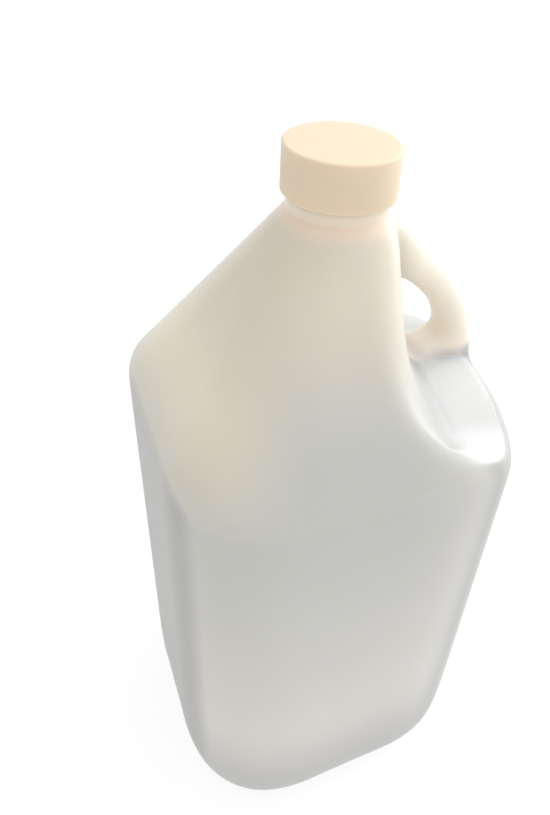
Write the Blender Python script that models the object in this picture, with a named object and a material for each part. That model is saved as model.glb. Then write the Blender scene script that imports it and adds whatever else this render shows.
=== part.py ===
"""Square flagon: a blow-moulded 5 litre bottle with a moulded-in grip handle and a screw cap.

Frame: metres, +Z up. The base stands on z = 0, the handle is on the +X side and the flat
front faces -Y. The flagon is symmetrical front to back, about the plane y = 0.

The bottle is one cage of rings, from the spigot under the cap down to the base, with the
handle joined to it as a tube between two openings. One level of subdivision rounds it.
"""
from math import atan2, cos, hypot, pi, radians, sin, tan

import bmesh
import bpy
from mathutils import Vector

# ---- body: a rounded square that widens a little towards the base
SHOULDER_HALF_X = 0.0746
SHOULDER_HALF_Y = 0.0693
SHOULDER_CORNER_R = 0.0364
SHOULDER_Z = 0.2329
SHOULDER_EDGE_R = 0.0160
BASE_HALF_X = 0.0798
BASE_HALF_Y = 0.0778
BASE_CORNER_R = 0.0487
BASE_EDGE_R = 0.0235
WALL_LEVELS = (0.210, 0.170, 0.100, 0.040)

# ---- shoulder: four sides that lean in to the neck
NECK_R = 0.0184
NECK_X = 0.0011
NECK_FOOT_Z = 0.3148
NECK_FOOT_FILLET = 0.0015

# ---- cap, a cup that screws down over the spigot on top of the neck
CAP_R_BOTTOM = 0.0205
CAP_R_TOP = 0.0203
CAP_BOTTOM_Z = 0.3207
CAP_TOP_Z = 0.3372
CAP_WALL = 0.0020
CAP_EDGE_R = 0.0008
CAP_RIM_CHAMFER = 0.0003
FIT_GAP = 0.0004
SPIGOT_EDGE = 0.0006
NECK_STEP = 0.0002

# ---- grip side: the slope is cut back to a steep flank that stands on a low deck.
# Each table gives a size in metres against the way down the slope, from neck (0) to edge (1).
FLANK_CORNER_X = ((0.0, 0.0184), (0.10, 0.0165), (0.22, 0.0140), (0.36, 0.0130), (0.52, 0.0138),
                  (0.64, 0.0175), (0.75, 0.0248), (0.84, 0.0345))
FLANK_BULGE = ((0.0, 0.0), (0.10, 0.0045), (0.22, 0.0075), (0.36, 0.0085), (0.52, 0.0095),
               (0.64, 0.0085), (0.84, 0.0020))
FLANK_CORNER_R = ((0.0, 0.0184), (0.22, 0.0115), (0.36, 0.0095), (0.60, 0.0095), (0.84, 0.0145))
DECK_START = 0.84
DECK_END = 0.97
DECK_INNER_Z = 0.2488
DECK_OUTER_Z = 0.2400
DECK_ARC_R = 0.0830
DECK_INNER_FALL = 0.65
DECK_EDGE_R = 0.0120

# ---- handle: an oval tube from the neck down to the outer end of the deck
HANDLE_HALF_WIDTH = 0.0095
HANDLE_PATH = (
    # centre x, centre z, half thickness in the plane of the handle, lean of the section (deg)
    (0.0312, 0.2924, 0.0093, 36.0),
    (0.0400, 0.2864, 0.0080, 45.0),
    (0.0495, 0.2777, 0.0076, 54.0),
    (0.0565, 0.2675, 0.0073, 68.0),
    (0.0600, 0.2585, 0.0078, 82.0),
    (0.0614, 0.2520, 0.0097, 94.0),
    (0.0584, 0.2468, 0.0148, 106.0),
)

# ---- where the rings lie: ways down the slope, shares of a quarter turn, shares of a radius
ROUND_NECK_END = 0.36
SLOPE_STEPS = (0.0, 0.04, 0.11, 0.19, 0.28, 0.40, 0.52, 0.64, 0.75)
DECK_STEPS = (0.84, 0.860, 0.898, 0.940)
EDGE_STEPS = (0.80, 0.45, 0.12)
BASE_STEPS = (0.20, 0.45, 0.70, 0.92)
BASE_FLAT_INSETS = (1.12, 1.30)
SPIGOT_CENTRE_SHARE = 0.45

# ---- how many columns the front half of a ring has, from -X round to +X
SIDE_SEGMENTS = 3
CORNER_SEGMENTS = 4
FRONT_SEGMENTS = 4
GRIP_SIDE_SEGMENTS = 7
GRIP_CORNER_START = SIDE_SEGMENTS + CORNER_SEGMENTS + FRONT_SEGMENTS
HALF_SEGMENTS = GRIP_CORNER_START + CORNER_SEGMENTS + GRIP_SIDE_SEGMENTS

# ---- handle openings: columns at these distances from the mid-plane, rings counted from the
# first slope ring (upper) and from the first deck ring (lower)
GRIP_COLUMNS = (0.0, 0.0050, 0.0095, 0.0118, 0.0170)
GRIP_HALF_COLUMNS = 2
UPPER_OPENING = (1, 5)
LOWER_OPENING = (1, 5)

# ---- how far the cage is pushed out against its rounding, and how often
HOLD_PASSES = 3
HOLD_SHARE = 0.8
SOFT_HOLD_SHARE = 0.2

CAP_SEGMENTS = 64
CAP_EDGE_SEGMENTS = 3
CAP_SMOOTH_DEG = 35.0
MERGE_DISTANCE = 1e-6

QUARTER = pi / 2.0


def lerp(a, b, t):
    return a + (b - a) * t


def ease(t):
    t = min(max(t, 0.0), 1.0)
    return t * t * (3.0 - 2.0 * t)


def table(rows, t):
    """Value at t of a table of (t, value) rows, with straight lines between them."""
    for (t0, v0), (t1, v1) in zip(rows, rows[1:]):
        if t <= t1:
            return lerp(v0, v1, (t - t0) / (t1 - t0))
    return rows[-1][1]


# ---------------------------------------------------------------------- outline of one ring

def half_outline(left, right, depth, r_left, r_right):
    """Front half of a rounded outline, as (length, point at 0..1) pieces from -X round to +X."""
    side_l = depth - r_left
    side_r = depth - r_right
    front = left - r_left + right - r_right

    def arc(cx, radius, start):
        return lambda t: (cx + radius * cos(start + QUARTER * t),
                          -(depth - radius) + radius * sin(start + QUARTER * t))

    return (
        (side_l, lambda t: (-left, -side_l * t)),
        (QUARTER * r_left, arc(-left + r_left, r_left, pi)),
        (front, lambda t: (-left + r_left + front * t, -depth)),
        (QUARTER * r_right, arc(right - r_right, r_right, pi + QUARTER)),
        (side_r, lambda t: (right, -side_r * (1.0 - t))),
    )


def grip_side_stops(length):
    """Stops along the grip side, from its corner to the middle: close together at the handle."""
    outermost = GRIP_COLUMNS[-1]
    spare = GRIP_SIDE_SEGMENTS - len(GRIP_COLUMNS) + 1
    far = [lerp(outermost, length, k / spare) for k in range(spare, 0, -1)]
    return [length - y for y in far + list(reversed(GRIP_COLUMNS))]


def ring(left, right, depth, r_left, r_right, spread=1.0):
    """Points round an outline: at spread 1 they sit on its corners, at 0 they are evenly spaced."""
    pieces = half_outline(left, right, depth, r_left, r_right)
    total = sum(length for length, _ in pieces)
    stops = []
    start = 0.0
    counts = (SIDE_SEGMENTS, CORNER_SEGMENTS, FRONT_SEGMENTS, CORNER_SEGMENTS)
    for (length, _), count in zip(pieces, counts):
        stops += [start + length * k / count for k in range(count)]
        start += length
    stops += [start + stop for stop in grip_side_stops(pieces[-1][0])]
    front = [point_at(pieces, lerp(total * k / HALF_SEGMENTS, stop, spread))
             for k, stop in enumerate(stops)]
    back = [(x, -y) for x, y in reversed(front[1:-1])]
    return front + back


def point_at(pieces, s):
    """Point at a length s along an outline; an empty piece is passed over."""
    for length, point in pieces[:-1]:
        if s <= length and length > MERGE_DISTANCE:
            return point(s / length)
        s -= length
    length, point = pieces[-1]
    return point(min(s / length, 1.0) if length > MERGE_DISTANCE else 1.0)


def grip_share(k):
    """0 on the plain columns of a ring, 1 on the columns of the grip side."""
    k = min(k, 2 * HALF_SEGMENTS - k)
    return ease((k - GRIP_CORNER_START) / CORNER_SEGMENTS)


# ------------------------------------------------------------------- rings, from the top down

def circle_ring(radius, z):
    points = ring(radius, radius, radius, radius, radius, 0.0)
    return [(x + NECK_X, y, z) for x, y in points]


def neck_rings():
    """Spigot inside the cap, then the short neck that shows under it."""
    spigot = CAP_R_TOP - CAP_WALL - FIT_GAP
    top = CAP_TOP_Z - CAP_WALL - FIT_GAP
    foot = CAP_BOTTOM_Z - FIT_GAP
    return [
        circle_ring(spigot * SPIGOT_CENTRE_SHARE, top),
        circle_ring(spigot - SPIGOT_EDGE, top),
        circle_ring(spigot, top - SPIGOT_EDGE),
        circle_ring(spigot, foot + SPIGOT_EDGE),
        circle_ring(NECK_R, foot - NECK_STEP),
        circle_ring(NECK_R, NECK_FOOT_Z + NECK_FOOT_FILLET),
    ]


def slope_sizes(t):
    """Half sizes and corner radius of the sloping shoulder, from neck (0) to shoulder edge (1)."""
    return (lerp(NECK_R, SHOULDER_HALF_X, t), lerp(NECK_R, SHOULDER_HALF_Y, t),
            lerp(NECK_R, SHOULDER_CORNER_R, t))


def deck_fall(y, across):
    """How far the deck lies below its middle, a distance y away, from flank (0) to outer edge (1)."""
    return y * y / (2.0 * DECK_ARC_R) * lerp(DECK_INNER_FALL, 1.0, across)


def deck_pitch():
    """Slope of the deck's middle line, from the flank's foot down to the outer edge."""
    return (DECK_INNER_Z - DECK_OUTER_Z) / (SHOULDER_HALF_X - table(FLANK_CORNER_X, DECK_START))


def slope_ring(t):
    """Ring of the shoulder with its cut-back flank on the grip side."""
    left, depth, corner = slope_sizes(t)
    points = ring(left, table(FLANK_CORNER_X, t), depth, corner, table(FLANK_CORNER_R, t),
                  ease(t / ROUND_NECK_END))
    z = lerp(NECK_FOOT_Z, SHOULDER_Z, t)
    down = t / DECK_START
    z_grip = lerp(NECK_FOOT_Z, DECK_INNER_Z, down)
    out = []
    for k, (x, y) in enumerate(points):
        share = grip_share(k)
        bulge = table(FLANK_BULGE, t) * share * (1.0 - (y / depth) ** 2)
        fall = deck_fall(y, 0.0) * ease(down)
        out.append((x + bulge + NECK_X * (1.0 - t), y, lerp(z, z_grip - fall, share)))
    return out


def deck_ring(t):
    """Ring across the deck: the grip side spreads from the flank's foot to the body's corner."""
    left, depth, corner = slope_sizes(t)
    across = (t - DECK_START) / (DECK_END - DECK_START)
    right = lerp(table(FLANK_CORNER_X, DECK_START), SHOULDER_HALF_X, across)
    r_right = lerp(table(FLANK_CORNER_R, DECK_START), SHOULDER_CORNER_R, across)
    points = ring(left, right, depth, corner, r_right)
    z = lerp(NECK_FOOT_Z, SHOULDER_Z, t)
    z_grip = lerp(DECK_INNER_Z, DECK_OUTER_Z, across)
    foot_bulge = table(FLANK_BULGE, DECK_START) * (1.0 - across)
    out = []
    for k, (x, y) in enumerate(points):
        share = grip_share(k)
        bulge = foot_bulge * share * (1.0 - (y / depth) ** 2)
        fall = deck_fall(y, across)
        out.append((x + bulge + NECK_X * (1.0 - t), y, lerp(z, z_grip - fall, share)))
    return out


def wall_ring(z, inset=0.0):
    """Ring of the wall at a height, drawn in by an inset."""
    t = min((SHOULDER_Z - z) / (SHOULDER_Z - BASE_EDGE_R), 1.0)
    half_x = lerp(SHOULDER_HALF_X, BASE_HALF_X, t) - inset
    half_y = lerp(SHOULDER_HALF_Y, BASE_HALF_Y, t) - inset
    corner = lerp(SHOULDER_CORNER_R, BASE_CORNER_R, t) - inset
    return [(x, y, z) for x, y in ring(half_x, half_x, half_y, corner, corner)]


def edge_ring(step):
    """Ring of the rounded edge above the wall: under the slope, and under the deck."""
    lean = QUARTER - slope_angle()
    a = lean * step
    z = SHOULDER_Z + SHOULDER_EDGE_R * (sin(a) - tan(lean / 2.0))
    plain = wall_ring(z, SHOULDER_EDGE_R * (1.0 - cos(a)))
    b = QUARTER * step
    inset = DECK_EDGE_R * (1.0 - cos(b))
    z_grip = DECK_OUTER_Z + inset * deck_pitch() - DECK_EDGE_R * (1.0 - sin(b))
    grip = wall_ring(z, inset)
    out = []
    for k, ((x0, y0, _), (x1, y1, _)) in enumerate(zip(plain, grip)):
        share = grip_share(k)
        y = lerp(y0, y1, share)
        out.append((lerp(x0, x1, share), y, lerp(z, z_grip - deck_fall(y, 1.0), share)))
    return out


def slope_angle():
    """Angle of the plain shoulder slope above the horizontal."""
    return atan2(NECK_FOOT_Z - SHOULDER_Z, SHOULDER_HALF_X - NECK_R)


def base_rings():
    """Rounded bottom edge, then the flat base."""
    rings = []
    for step in BASE_STEPS:
        a = QUARTER * step
        rings.append(wall_ring(BASE_EDGE_R * (1.0 - sin(a)), BASE_EDGE_R * (1.0 - cos(a))))
    rings += [wall_ring(0.0, BASE_EDGE_R * share) for share in BASE_FLAT_INSETS]
    return rings


# ------------------------------------------------------------------------------------- handle

def opening_rim(verts, rows):
    """Rim of a grip opening, once round, with each point's place in a -1..1 square."""
    cols = range(HALF_SEGMENTS - GRIP_HALF_COLUMNS, HALF_SEGMENTS + GRIP_HALF_COLUMNS + 1)
    first, last = rows
    path = [(first, k) for k in cols]
    path += [(j, cols[-1]) for j in range(first + 1, last + 1)]
    path += [(last, k) for k in reversed(cols[:-1])]
    path += [(j, cols[0]) for j in range(last - 1, first, -1)]
    return [(verts[j][k], (k - HALF_SEGMENTS) / GRIP_HALF_COLUMNS,
             2.0 * (j - first) / (last - first) - 1.0) for j, k in path]


def handle_section(bm, rim, x, z, half_thick, lean):
    """Oval section of the handle; its points follow the places of the opening's points."""
    a = radians(lean)
    out = []
    for _, u, v in rim:
        size = hypot(u, v)
        along = half_thick * v / size
        place = (x - along * sin(a), HANDLE_HALF_WIDTH * u / size, z - along * cos(a))
        out.append(bm.verts.new(place))
    return out


def add_handle(bm, upper_rim, lower_rim):
    """Tube from the upper opening through the handle's sections to the lower opening."""
    count = len(upper_rim)
    rows = UPPER_OPENING[1] - UPPER_OPENING[0]
    first = 4 * GRIP_HALF_COLUMNS + rows
    sections = [[v for v, _, _ in upper_rim]]
    sections += [handle_section(bm, upper_rim, *row) for row in HANDLE_PATH]
    sections.append([lower_rim[(first - k) % count][0] for k in range(count)])
    for above, below in zip(sections, sections[1:]):
        for k in range(count):
            n = (k + 1) % count
            bm.faces.new((above[k], below[k], below[n], above[n]))


# ------------------------------------------------------------------------------------- bottle

def in_opening(ring_index, column, opening):
    near = -GRIP_HALF_COLUMNS <= column - HALF_SEGMENTS < GRIP_HALF_COLUMNS
    return near and opening[0] <= ring_index < opening[1]


def build_bottle():
    neck = neck_rings()
    slope = [slope_ring(t) for t in SLOPE_STEPS]
    deck = [deck_ring(t) for t in DECK_STEPS]
    edge = [edge_ring(step) for step in EDGE_STEPS]
    rings = neck + slope + deck + edge + [wall_ring(z) for z in WALL_LEVELS] + base_rings()
    first_slope = len(neck)
    first_deck = first_slope + len(slope)
    upper = tuple(first_slope + j for j in UPPER_OPENING)
    lower = tuple(first_deck + j for j in LOWER_OPENING)

    bm = bmesh.new()
    verts = [[bm.verts.new(p) for p in points] for points in rings]
    columns = 2 * HALF_SEGMENTS
    for j in range(len(rings) - 1):
        for k in range(columns):
            if in_opening(j, k, upper) or in_opening(j, k, lower):
                continue
            n = (k + 1) % columns
            bm.faces.new((verts[j][k], verts[j + 1][k], verts[j + 1][n], verts[j][n]))
    bm.faces.new(verts[0])
    bm.faces.new(list(reversed(verts[-1])))

    upper_rim = opening_rim(verts, upper)
    lower_rim = opening_rim(verts, lower)
    add_handle(bm, upper_rim, lower_rim)
    inside_openings = [v for v in bm.verts if not v.link_faces]
    bmesh.ops.delete(bm, geom=inside_openings, context="VERTS")
    hold_through_rounding(bm, {v for v, _, _ in upper_rim + lower_rim})
    return finished_mesh("bottle", bm)


def hold_through_rounding(bm, soft):
    """Push the cage out so that the subdivided surface passes through the points as given.

    The soft points, where the handle joins, are pushed less and stay rounded.
    """
    wanted = {v: v.co.copy() for v in bm.verts}
    for _ in range(HOLD_PASSES):
        landing = {}
        for v in bm.verts:
            n = len(v.link_edges)
            face_mean = sum((f.calc_center_median() for f in v.link_faces), Vector()) / n
            edge_mean = sum(((v.co + e.other_vert(v).co) / 2.0 for e in v.link_edges), Vector()) / n
            landing[v] = (face_mean + 2.0 * edge_mean + (n - 3.0) * v.co) / n
        for v, place in landing.items():
            v.co += (SOFT_HOLD_SHARE if v in soft else HOLD_SHARE) * (wanted[v] - place)


# ---------------------------------------------------------------------------------------- cap

def cap_profile():
    """Half section of the cap as (radius, z) above its rim, from the axis over the top and in."""
    height = CAP_TOP_Z - CAP_BOTTOM_Z
    inner = CAP_R_TOP - CAP_WALL
    points = [(0.0, height)]
    for k in range(CAP_EDGE_SEGMENTS + 1):
        a = QUARTER * k / CAP_EDGE_SEGMENTS
        points.append((CAP_R_TOP - CAP_EDGE_R * (1.0 - sin(a)), height - CAP_EDGE_R * (1.0 - cos(a))))
    points += [
        (CAP_R_BOTTOM, CAP_RIM_CHAMFER),
        (CAP_R_BOTTOM - CAP_RIM_CHAMFER, 0.0),
        (inner, 0.0),
        (inner, height - CAP_WALL),
        (0.0, height - CAP_WALL),
    ]
    return points


def build_cap():
    bm = bmesh.new()
    verts = [bm.verts.new((r, 0.0, z)) for r, z in cap_profile()]
    edges = [bm.edges.new(pair) for pair in zip(verts, verts[1:])]
    bmesh.ops.spin(bm, geom=verts + edges, cent=(0.0, 0.0, 0.0), axis=(0.0, 0.0, 1.0),
                   angle=2.0 * pi, steps=CAP_SEGMENTS, use_merge=True)
    bmesh.ops.remove_doubles(bm, verts=bm.verts, dist=MERGE_DISTANCE)
    bmesh.ops.recalc_face_normals(bm, faces=bm.faces)
    return finished_mesh("cap", bm)


# ------------------------------------------------------------------------------------ objects

def finished_mesh(name, bm):
    bm.normal_update()
    mesh = bpy.data.meshes.new(name)
    bm.to_mesh(mesh)
    bm.free()
    mesh.shade_smooth()
    return mesh


def plastic(name, colour, roughness):
    material = bpy.data.materials.new(name)
    material.use_nodes = True
    shader = material.node_tree.nodes["Principled BSDF"]
    shader.inputs["Base Color"].default_value = (*colour, 1.0)
    shader.inputs["Roughness"].default_value = roughness
    shader.inputs["Metallic"].default_value = 0.0
    return material


def add_object(name, mesh, material):
    obj = bpy.data.objects.new(name, mesh)
    bpy.context.scene.collection.objects.link(obj)
    mesh.materials.append(material)
    return obj


def main():
    for obj in list(bpy.data.objects):
        bpy.data.objects.remove(obj)
    natural = plastic("natural_plastic", (0.60, 0.59, 0.54), 0.42)
    cream = plastic("cream_plastic", (0.86, 0.74, 0.50), 0.45)

    bottle = add_object("bottle", build_bottle(), natural)
    rounding = bottle.modifiers.new("rounding", "SUBSURF")
    rounding.levels = 1
    rounding.render_levels = 1

    cap = add_object("cap", build_cap(), cream)
    cap.location = (NECK_X, 0.0, CAP_BOTTOM_Z)
    cap.parent = bottle
    cap.data.set_sharp_from_angle(angle=radians(CAP_SMOOTH_DEG))


main()
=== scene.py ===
"""Looks of the square flagon: a milky blow-moulded bottle with its grip handle, and a cream screw cap.

The bottle's skin is a finer copy of the frame's solid, with the mould's parting line raised on it.
The cap is turned anew with a rounded edge and a slightly dished top.
Lengths are metres, +Z is up, the handle is at +X and the front faces -Y.
"""
import math

import bmesh
import bpy
from mathutils import Matrix, Vector


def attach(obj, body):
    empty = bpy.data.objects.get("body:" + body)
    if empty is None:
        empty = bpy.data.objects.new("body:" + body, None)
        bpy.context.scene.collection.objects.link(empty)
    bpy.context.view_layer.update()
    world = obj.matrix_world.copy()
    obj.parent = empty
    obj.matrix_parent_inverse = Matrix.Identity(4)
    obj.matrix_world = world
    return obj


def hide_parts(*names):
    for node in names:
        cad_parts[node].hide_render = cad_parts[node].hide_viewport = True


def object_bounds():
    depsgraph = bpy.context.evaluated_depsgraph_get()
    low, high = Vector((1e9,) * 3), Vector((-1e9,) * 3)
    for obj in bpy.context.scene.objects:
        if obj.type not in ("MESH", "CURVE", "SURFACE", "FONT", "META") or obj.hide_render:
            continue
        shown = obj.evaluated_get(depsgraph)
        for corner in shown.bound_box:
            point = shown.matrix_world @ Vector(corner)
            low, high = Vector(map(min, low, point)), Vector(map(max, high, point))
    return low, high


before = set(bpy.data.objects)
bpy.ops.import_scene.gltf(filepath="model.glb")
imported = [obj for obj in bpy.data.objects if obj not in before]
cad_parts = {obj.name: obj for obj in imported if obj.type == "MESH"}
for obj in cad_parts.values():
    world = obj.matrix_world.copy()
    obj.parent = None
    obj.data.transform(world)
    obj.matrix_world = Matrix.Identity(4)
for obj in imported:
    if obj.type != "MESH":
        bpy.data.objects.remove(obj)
cad_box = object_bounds()

MM = 0.001
MERGE = 0.001 * MM

# ---- camera: it looks down on the front left edge, into a frame of 550 x 815
IMAGE_WIDTH = 550
IMAGE_HEIGHT = 815
SENSOR = 36.0
CAMERA_PLACE = Vector((-97.14, -201.41, 414.97)) * MM
CAMERA_AZIMUTH = math.radians(27.893)
CAMERA_DOWN = math.radians(41.457)
CAMERA_ROLL = math.radians(6.104)
FOCAL_PX = 668.26
CENTRE_PX = (336.30, 416.28)
NEAREST = 0.01

# ---- bottle skin: triangles that bend or skew less than this, in radians, are joined to quads
QUAD_ANGLE = 1.2

# ---- parting line of the blow mould, on the plane y = 0
LINE_HALF_WIDTH = 0.35 * MM
LINE_HEIGHT = 0.14 * MM
LINE_LOWEST = 8.0 * MM
LINE_HIGHEST = 318.5 * MM
ON_PLANE = 0.01 * MM

# ---- cap; its dish is given as shares of the top's radius and of the depth at the centre
CAP_AXIS_X = 1.1 * MM
CAP_BOTTOM_Z = 320.7 * MM
CAP_TOP_Z = 337.2 * MM
CAP_R_BOTTOM = 20.5 * MM
CAP_R_TOP = 20.3 * MM
CAP_WALL = 2.0 * MM
CAP_EDGE_R = 1.1 * MM
CAP_RIM_R = 0.4 * MM
CAP_DISH = 0.15 * MM
CAP_DISH_MIDWAY = 0.5
CAP_DISH_MIDWAY_DEPTH = 0.8
CAP_EDGE_STEPS = 6
CAP_TURN_STEPS = 128
CAP_SHARP_ANGLE = math.radians(50.0)

# ---- floor
FLOOR_SIZE = 60.0
FLOOR_GAP = 0.05 * MM

# ---- zones of the bottle's tone, most of them painted light and shade: where each starts and where it is
# full. X, Y and Z are metres, Y is the distance from the plane of the handle, and FACES are the parts
# of the normal along an axis
# painted shade: the walls grow greyer upward to the shoulder
WALL_SHADE_Z = (0.020, 0.225)
# painted light: lighter towards the handle's side
HANDLE_SIDE_LIGHT_X = (0.005, 0.070)
# painted shade: greyer towards the base
FOOT_SHADE_Z = (0.095, 0.012)
# painted shade: darker on the end walls, below the shoulder
END_SHADE_FACES = (0.84, 0.99)
END_SHADE_Z = (0.246, 0.226)
SLOPE_Z = (0.245, 0.300)
# painted light: a warm glow on the upper left of the slope
WARM_LIGHT_X = (-0.026, -0.076)
WARM_LIGHT_Z = (0.224, 0.266)
# painted shade: darker on the flank that faces the handle, down to its crease at the deck
FLANK_SHADE_X = (0.014, 0.030)
FLANK_SHADE_FACES = (0.10, 0.45)
FLANK_SHADE_Z = (0.308, 0.280)
# painted shade on the deck, and a painted highlight on its outer edges
DECK_SHADE_AND_HIGHLIGHT_X = (0.024, 0.044)
DECK_SHADE_FACES = (0.80, 0.96)
# painted highlight: lighter on the deck's rounded front and back edges
DECK_EDGE_HIGHLIGHT_FACES = (0.45, 0.85)
DECK_EDGE_HIGHLIGHT_Y = (0.042, 0.064)
DECK_EDGE_HIGHLIGHT_Z = (0.252, 0.248)
# the thick neck's cream tone, lightened further as painted light against the cap's shade
NECK_CREAM_AND_LIGHT_Z = (0.308, 0.318)
GRIP_X = (0.022, 0.036)
GRIP_Y = (0.0150, 0.0105)
GRIP_Z = (0.2435, 0.2500)

# ---- sizes of the materials' patterns, from crest to crest
BOTTLE_CLOUD = 62.5 * MM
BOTTLE_WAVE = 100.0 / 3.0 * MM
BOTTLE_WAVE_HEIGHT = 0.4 * MM
CAP_CLOUD = 50.0 / 3.0 * MM
CAP_GRAIN = 10.0 / 9.0 * MM
CAP_GRAIN_HEIGHT = 0.1 * MM

# ---- sockets of a Mix node that carry colours
MIX_LOW = 6
MIX_HIGH = 7
MIX_RESULT = 2


# ------------------------------------------------------------------------------------ nodes

def linear(hex_colour):
    """sRGB hex, such as "E8E4D8", to linear RGBA."""
    channels = [int(hex_colour[i:i + 2], 16) / 255.0 for i in (0, 2, 4)]
    rgb = [c / 12.92 if c <= 0.04045 else ((c + 0.055) / 1.055) ** 2.4 for c in channels]
    return (*rgb, 1.0)


def node(tree, kind, settings=None, links=None, **properties):
    """Adds a node: properties are its own, settings fill its inputs, links join sockets to inputs."""
    made = tree.nodes.new(kind)
    for name, value in properties.items():
        setattr(made, name, value)
    for name, value in (settings or {}).items():
        made.inputs[name].default_value = value
    for name, socket in (links or {}).items():
        tree.links.new(socket, made.inputs[name])
    return made


def new_material(name):
    """An empty material and its node tree."""
    material = bpy.data.materials.new(name)
    material.use_nodes = True
    tree = material.node_tree
    tree.nodes.clear()
    return material, tree


def zone(tree, *limits):
    """Share of a zone: 1 where every value is past its full limit, and 0 where one is before its start.

    Each limit is a value's socket with a pair (start, full), between which the share grows smoothly.
    """
    share = None
    for value, (start, full) in limits:
        part = node(tree, "ShaderNodeMapRange", {"From Min": start, "From Max": full}, {"Value": value},
                    interpolation_type="SMOOTHSTEP").outputs["Result"]
        if share is None:
            share = part
        else:
            share = node(tree, "ShaderNodeMath", links={0: share, 1: part},
                         operation="MULTIPLY").outputs["Value"]
    return share


def lay_tones(tree, first, tones):
    """A first colour with tones laid over it in turn, each a zone's share and an sRGB hex colour."""
    colour = None
    for share, tone in tones:
        mix = node(tree, "ShaderNodeMix", {MIX_LOW: linear(first), MIX_HIGH: linear(tone)},
                   {"Factor": share}, data_type="RGBA")
        if colour is not None:
            tree.links.new(colour, mix.inputs[MIX_LOW])
        colour = mix.outputs[MIX_RESULT]
    return colour


# -------------------------------------------------------------------------------- materials

def natural_polyethylene():
    """Natural HDPE, blow-moulded: milky and satin, with light spread inside it and a faint waviness.

    Painted shade greys its ends, its foot, its walls up to the shoulder, the flank by the handle and
    the deck, and painted light brightens the wall on the handle's side, warms the upper left of the
    slope and lies as a highlight on the deck's outer edges. It is creamier on the slope, neck and grip,
    where the plastic is thick, and the neck's cream is lightened further as painted light against the
    cap's shade.
    """
    material, tree = new_material("natural_hdpe_blow_moulded")
    coordinates = node(tree, "ShaderNodeTexCoord").outputs
    where = coordinates["Object"]
    x, y, z = node(tree, "ShaderNodeSeparateXYZ", links={"Vector": where}).outputs
    facing = coordinates["Normal"]
    facing_x, _, facing_z = node(tree, "ShaderNodeSeparateXYZ", links={"Vector": facing}).outputs
    off_middle = node(tree, "ShaderNodeMath", links={0: y}, operation="ABSOLUTE").outputs["Value"]
    end_on = node(tree, "ShaderNodeMath", links={0: facing_x}, operation="ABSOLUTE").outputs["Value"]
    plain = lay_tones(tree, "DFDAD3", (
        # painted shade greying the walls towards the shoulder
        (zone(tree, (z, WALL_SHADE_Z)), "CAC9C4"),
        # painted light on the handle's side
        (zone(tree, (x, HANDLE_SIDE_LIGHT_X)), "DBD8D3"),
        # painted shade towards the base
        (zone(tree, (z, FOOT_SHADE_Z)), "BBBAB8"),
        # painted shade on the end walls
        (zone(tree, (end_on, END_SHADE_FACES), (z, END_SHADE_Z)), "A8A7A5"),
        (zone(tree, (z, SLOPE_Z)), "DFD7C7"),
        # painted warm light on the upper left
        (zone(tree, (x, WARM_LIGHT_X), (z, WARM_LIGHT_Z)), "F9ECD2"),
        # painted shade on the flank and its crease
        (zone(tree, (x, FLANK_SHADE_X), (facing_x, FLANK_SHADE_FACES), (z, FLANK_SHADE_Z)), "B3B3AF"),
        # painted shade on the deck
        (zone(tree, (x, DECK_SHADE_AND_HIGHLIGHT_X), (facing_z, DECK_SHADE_FACES)), "C7C8C5"),
        # painted highlight on the deck's front and back edges
        (zone(tree, (x, DECK_SHADE_AND_HIGHLIGHT_X), (facing_z, DECK_EDGE_HIGHLIGHT_FACES), (off_middle, DECK_EDGE_HIGHLIGHT_Y),
              (z, DECK_EDGE_HIGHLIGHT_Z)), "E2E2E0"),
        # the neck's cream, partly painted light against the cap's shade
        (zone(tree, (z, NECK_CREAM_AND_LIGHT_Z)), "FFEBD6"),
        (zone(tree, (x, GRIP_X), (z, GRIP_Z), (off_middle, GRIP_Y)), "F3EBE0"),
    ))
    cloud = node(tree, "ShaderNodeTexNoise",
                 {"Scale": 1.0 / BOTTLE_CLOUD, "Detail": 2.0, "Roughness": 0.5},
                 {"Vector": where}).outputs["Fac"]
    colour = node(tree, "ShaderNodeMix", {MIX_HIGH: linear("F8F8F7")},
                  {"Factor": cloud, MIX_LOW: plain},
                  data_type="RGBA", blend_type="MULTIPLY").outputs[MIX_RESULT]

    wave = node(tree, "ShaderNodeTexNoise",
                {"Scale": 1.0 / BOTTLE_WAVE, "Detail": 1.0, "Roughness": 0.4},
                {"Vector": where}).outputs["Fac"]
    bump = node(tree, "ShaderNodeBump", {"Strength": 0.25, "Distance": BOTTLE_WAVE_HEIGHT},
                {"Height": wave}).outputs["Normal"]
    shader = node(tree, "ShaderNodeBsdfPrincipled",
                  {"Roughness": 0.36, "IOR": 1.54, "Specular IOR Level": 0.38, "Subsurface Weight": 1.0,
                   "Subsurface Radius": (1.0, 0.93, 0.80), "Subsurface Scale": 12.0 * MM},
                  {"Base Color": colour, "Normal": bump})
    node(tree, "ShaderNodeOutputMaterial", links={"Surface": shader.outputs["BSDF"]})
    return material


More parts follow.
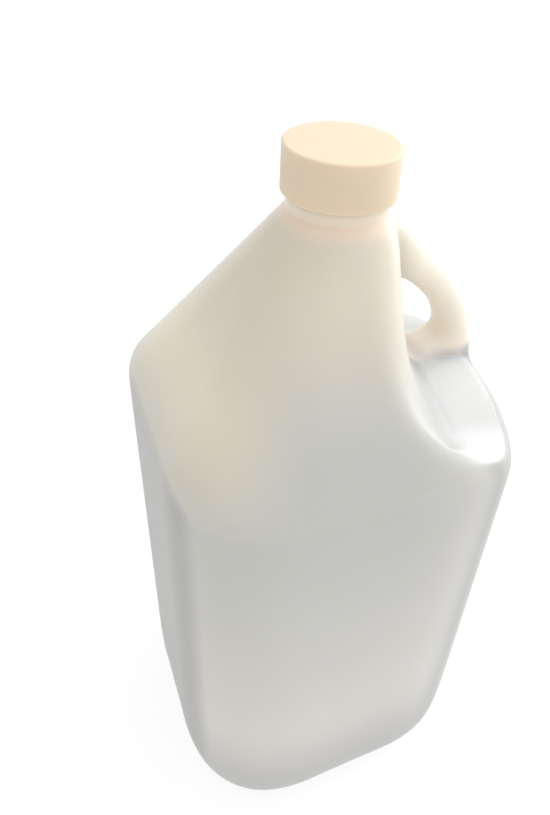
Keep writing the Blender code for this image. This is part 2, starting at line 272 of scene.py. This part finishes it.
def cream_polypropylene():
    """Cream polypropylene, injection-moulded: an even satin colour that breaks up the light softly.

    The mould's grain is finer than this in truth, and is drawn coarse enough to show.
    """
    material, tree = new_material("cream_polypropylene_moulded")
    where = node(tree, "ShaderNodeTexCoord").outputs["Object"]
    cloud = node(tree, "ShaderNodeTexNoise", {"Scale": 1.0 / CAP_CLOUD, "Detail": 2.0},
                 {"Vector": where}).outputs["Fac"]
    colour = node(tree, "ShaderNodeMix", {MIX_LOW: linear("E6D1B6"), MIX_HIGH: linear("EBD6BC")},
                  {"Factor": cloud}, data_type="RGBA").outputs[MIX_RESULT]
    grain = node(tree, "ShaderNodeTexNoise", {"Scale": 1.0 / CAP_GRAIN, "Detail": 1.0},
                 {"Vector": where}).outputs["Fac"]
    bump = node(tree, "ShaderNodeBump", {"Strength": 0.2, "Distance": CAP_GRAIN_HEIGHT},
                {"Height": grain}).outputs["Normal"]
    shader = node(tree, "ShaderNodeBsdfPrincipled",
                  {"Roughness": 0.5, "IOR": 1.49, "Specular IOR Level": 0.3, "Subsurface Weight": 0.4,
                   "Subsurface Radius": (1.0, 0.8, 0.5), "Subsurface Scale": 4.0 * MM},
                  {"Base Color": colour, "Normal": bump})
    node(tree, "ShaderNodeOutputMaterial", links={"Surface": shader.outputs["BSDF"]})
    return material


def light_table():
    """White acrylic light table: matt, and lit from within, so that it stays white in shade."""
    material, tree = new_material("white_light_table")
    shader = node(tree, "ShaderNodeBsdfPrincipled",
                  {"Base Color": linear("808080"), "Roughness": 0.9, "Specular IOR Level": 0.0,
                   "Emission Color": linear("FFFFFF"), "Emission Strength": 0.81})
    node(tree, "ShaderNodeOutputMaterial", links={"Surface": shader.outputs["BSDF"]})
    return material


# ----------------------------------------------------------------------------------- pieces

def add_piece(name, bm, material):
    """Turns a bmesh into a smooth object in the scene."""
    mesh = bpy.data.meshes.new(name)
    bm.to_mesh(mesh)
    bm.free()
    mesh.shade_smooth()
    mesh.materials.append(material)
    piece = bpy.data.objects.new(name, mesh)
    bpy.context.scene.collection.objects.link(piece)
    return piece


def on_parting_line(vert):
    """Whether a vertex lies on the plane y = 0, between the line's ends."""
    return abs(vert.co.y) < ON_PLANE and LINE_LOWEST < vert.co.z < LINE_HIGHEST


def raise_parting_line(bm):
    """Splits the edges on the plane y = 0 and lifts the middle of the strip that this makes."""
    on_line = [edge for edge in bm.edges if all(on_parting_line(vert) for vert in edge.verts)]
    bmesh.ops.bevel(bm, geom=on_line, offset=LINE_HALF_WIDTH, offset_type="OFFSET", segments=2,
                    profile=0.5, affect="EDGES", material=-1)
    bm.normal_update()
    for vert in bm.verts:
        if on_parting_line(vert):
            vert.co += vert.normal * LINE_HEIGHT


def build_bottle_skin(material):
    """The solid's surface, with its triangles joined to quads and one finer level of rounding."""
    bm = bmesh.new()
    bm.from_mesh(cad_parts["bottle"].data)
    bmesh.ops.remove_doubles(bm, verts=bm.verts, dist=MERGE)
    bmesh.ops.join_triangles(bm, faces=bm.faces, angle_face_threshold=QUAD_ANGLE,
                             angle_shape_threshold=QUAD_ANGLE)
    raise_parting_line(bm)
    piece = add_piece("bottle_skin", bm, material)
    rounding = piece.modifiers.new("rounding", "SUBSURF")
    rounding.levels = 1
    rounding.render_levels = 1
    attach(piece, "root")
    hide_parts("bottle")


def arc(r, z, radius, start, end):
    """Points (r, z) of a turned profile's rounded corner, from one angle to another in degrees."""
    angles = [math.radians(start + (end - start) * step / CAP_EDGE_STEPS)
              for step in range(CAP_EDGE_STEPS + 1)]
    return [(r + radius * math.cos(angle), z + radius * math.sin(angle)) for angle in angles]


def cap_profile():
    """Outside of the cap from the top's centre down to the rim, then its inside up to the centre."""
    inner = CAP_R_TOP - CAP_WALL
    ceiling = CAP_TOP_Z - CAP_WALL
    return [
        (0.0, CAP_TOP_Z - CAP_DISH),
        (CAP_R_TOP * CAP_DISH_MIDWAY, CAP_TOP_Z - CAP_DISH * CAP_DISH_MIDWAY_DEPTH),
        *arc(CAP_R_TOP - CAP_EDGE_R, CAP_TOP_Z - CAP_EDGE_R, CAP_EDGE_R, 90.0, 0.0),
        *arc(CAP_R_BOTTOM - CAP_RIM_R, CAP_BOTTOM_Z + CAP_RIM_R, CAP_RIM_R, 0.0, -90.0),
        (inner, CAP_BOTTOM_Z),
        (inner, ceiling),
        (0.0, ceiling),
    ]


def build_cap_shell(material):
    """The cap, turned round its axis."""
    bm = bmesh.new()
    verts = [bm.verts.new((CAP_AXIS_X + r, 0.0, z)) for r, z in cap_profile()]
    edges = [bm.edges.new(pair) for pair in zip(verts, verts[1:])]
    bmesh.ops.spin(bm, geom=verts + edges, cent=(CAP_AXIS_X, 0.0, 0.0), axis=(0.0, 0.0, 1.0),
                   angle=2.0 * math.pi, steps=CAP_TURN_STEPS, use_merge=True)
    bmesh.ops.remove_doubles(bm, verts=bm.verts, dist=MERGE)
    bmesh.ops.recalc_face_normals(bm, faces=bm.faces)
    piece = add_piece("cap_shell", bm, material)
    piece.data.set_sharp_from_angle(angle=CAP_SHARP_ANGLE)
    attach(piece, "root")
    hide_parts("cap")


# ------------------------------------------------------------------------------------ stage

def build_floor():
    """The light table's top, just under the flagon's base."""
    bm = bmesh.new()
    bmesh.ops.create_grid(bm, x_segments=1, y_segments=1, size=FLOOR_SIZE / 2.0)
    bmesh.ops.translate(bm, verts=bm.verts, vec=(0.0, 0.0, cad_box[0].z - FLOOR_GAP))
    floor = add_piece("floor", bm, light_table())


def towards(azimuth, elevation):
    """Unit vector at an azimuth (0 behind the flagon, 90 at the handle) and elevation, in degrees."""
    across = math.radians(azimuth)
    up = math.radians(elevation)
    return Vector((math.sin(across) * math.cos(up), math.cos(across) * math.cos(up), math.sin(up)))


def add_lamp(light, direction, place):
    """Puts a light in the scene, shining against a direction."""
    lamp = bpy.data.objects.new(light.name, light)
    bpy.context.scene.collection.objects.link(lamp)
    lamp.rotation_euler = direction.to_track_quat("Z", "Y").to_euler()
    lamp.location = place


def add_sun(name, azimuth, elevation, strength, softness, colour):
    """Broad distant light: its softness is the angle, in degrees, that its disc takes up."""
    light = bpy.data.lights.new(name, "SUN")
    light.energy = strength
    light.angle = math.radians(softness)
    light.color = linear(colour)[:3]
    direction = towards(azimuth, elevation)
    add_lamp(light, direction, direction)


def add_panel(name, azimuth, elevation, distance, width, height, radiance, colour, aim_z):
    """Rectangular softbox that faces the flagon at a height."""
    light = bpy.data.lights.new(name, "AREA")
    light.shape = "RECTANGLE"
    light.size = width
    light.size_y = height
    light.energy = radiance * math.pi * width * height
    light.color = linear(colour)[:3]
    direction = towards(azimuth, elevation)
    add_lamp(light, direction, Vector((0.0, 0.0, aim_z)) + direction * distance)


# radiance of the room as a whole, then direction and radiance of each part that adds to it; a part
# starts and is full at these cosines of the angle from its direction
ROOM_BASE = (0.100, 0.095, 0.090)
ROOM_PARTS = (
    ((0.0, -1.0, 0.1), (0.365, 0.370, 0.380)),
    ((1.0, -0.1, 0.3), (0.46, 0.48, 0.51)),
    ((-1.0, 0.0, 0.15), (0.130, 0.125, 0.118)),
    ((0.0, 0.0, 1.0), (1.20, 1.24, 1.26)),
    ((0.4, 1.0, 0.25), (0.520, 0.480, 0.450)),
)
ROOM_PART_LIMITS = (0.30, 0.95)


def light_room():
    """Soft room: brightest overhead, then behind and at the handle's side, and darkest at the left."""
    world = bpy.data.worlds.new("studio")
    bpy.context.scene.world = world
    world.use_nodes = True
    tree = world.node_tree
    tree.nodes.clear()
    around = node(tree, "ShaderNodeTexCoord").outputs["Generated"]
    room = node(tree, "ShaderNodeBackground", {"Color": (*ROOM_BASE, 1.0)}).outputs["Background"]
    for direction, radiance in ROOM_PARTS:
        facing = node(tree, "ShaderNodeVectorMath", {1: Vector(direction).normalized()}, {0: around},
                      operation="DOT_PRODUCT").outputs["Value"]
        part = node(tree, "ShaderNodeBackground", {"Color": (*radiance, 1.0)},
                    {"Strength": zone(tree, (facing, ROOM_PART_LIMITS))})
        room = node(tree, "ShaderNodeAddShader",
                    links={0: room, 1: part.outputs["Background"]}).outputs["Shader"]
    node(tree, "ShaderNodeOutputWorld", links={"Surface": room})


def light_scene():
    """The room, a broad light from high at the handle's side, and a low panel there."""
    light_room()
    add_sun("right_light", azimuth=82.0, elevation=52.0, strength=0.62, softness=24.0, colour="F8FAFF")
    add_panel("side_window", azimuth=78.0, elevation=14.0, distance=1.1, width=0.55, height=0.80,
              radiance=3.0, colour="FCFBFF", aim_z=0.24)
    bpy.context.scene.view_settings.view_transform = "Standard"


def add_camera():
    """The camera that the numbers at the top give, with its axis off the middle of the frame."""
    forward = Vector((math.sin(CAMERA_AZIMUTH) * math.cos(CAMERA_DOWN),
                      math.cos(CAMERA_AZIMUTH) * math.cos(CAMERA_DOWN), -math.sin(CAMERA_DOWN)))
    data = bpy.data.cameras.new("camera")
    data.sensor_width = SENSOR
    data.lens = FOCAL_PX * SENSOR / IMAGE_HEIGHT
    data.shift_x = (IMAGE_WIDTH / 2.0 - CENTRE_PX[0]) / IMAGE_HEIGHT
    data.shift_y = (CENTRE_PX[1] - IMAGE_HEIGHT / 2.0) / IMAGE_HEIGHT
    data.clip_start = NEAREST
    camera = bpy.data.objects.new("camera", data)
    bpy.context.scene.collection.objects.link(camera)
    level = forward.to_track_quat("-Z", "Y").to_matrix().to_4x4()
    roll = Matrix.Rotation(CAMERA_ROLL, 4, "Z")
    camera.matrix_world = Matrix.Translation(CAMERA_PLACE) @ level @ roll
    bpy.context.scene.camera = camera


add_camera()
light_scene()
build_floor()
build_bottle_skin(natural_polyethylene())
build_cap_shell(cream_polypropylene())
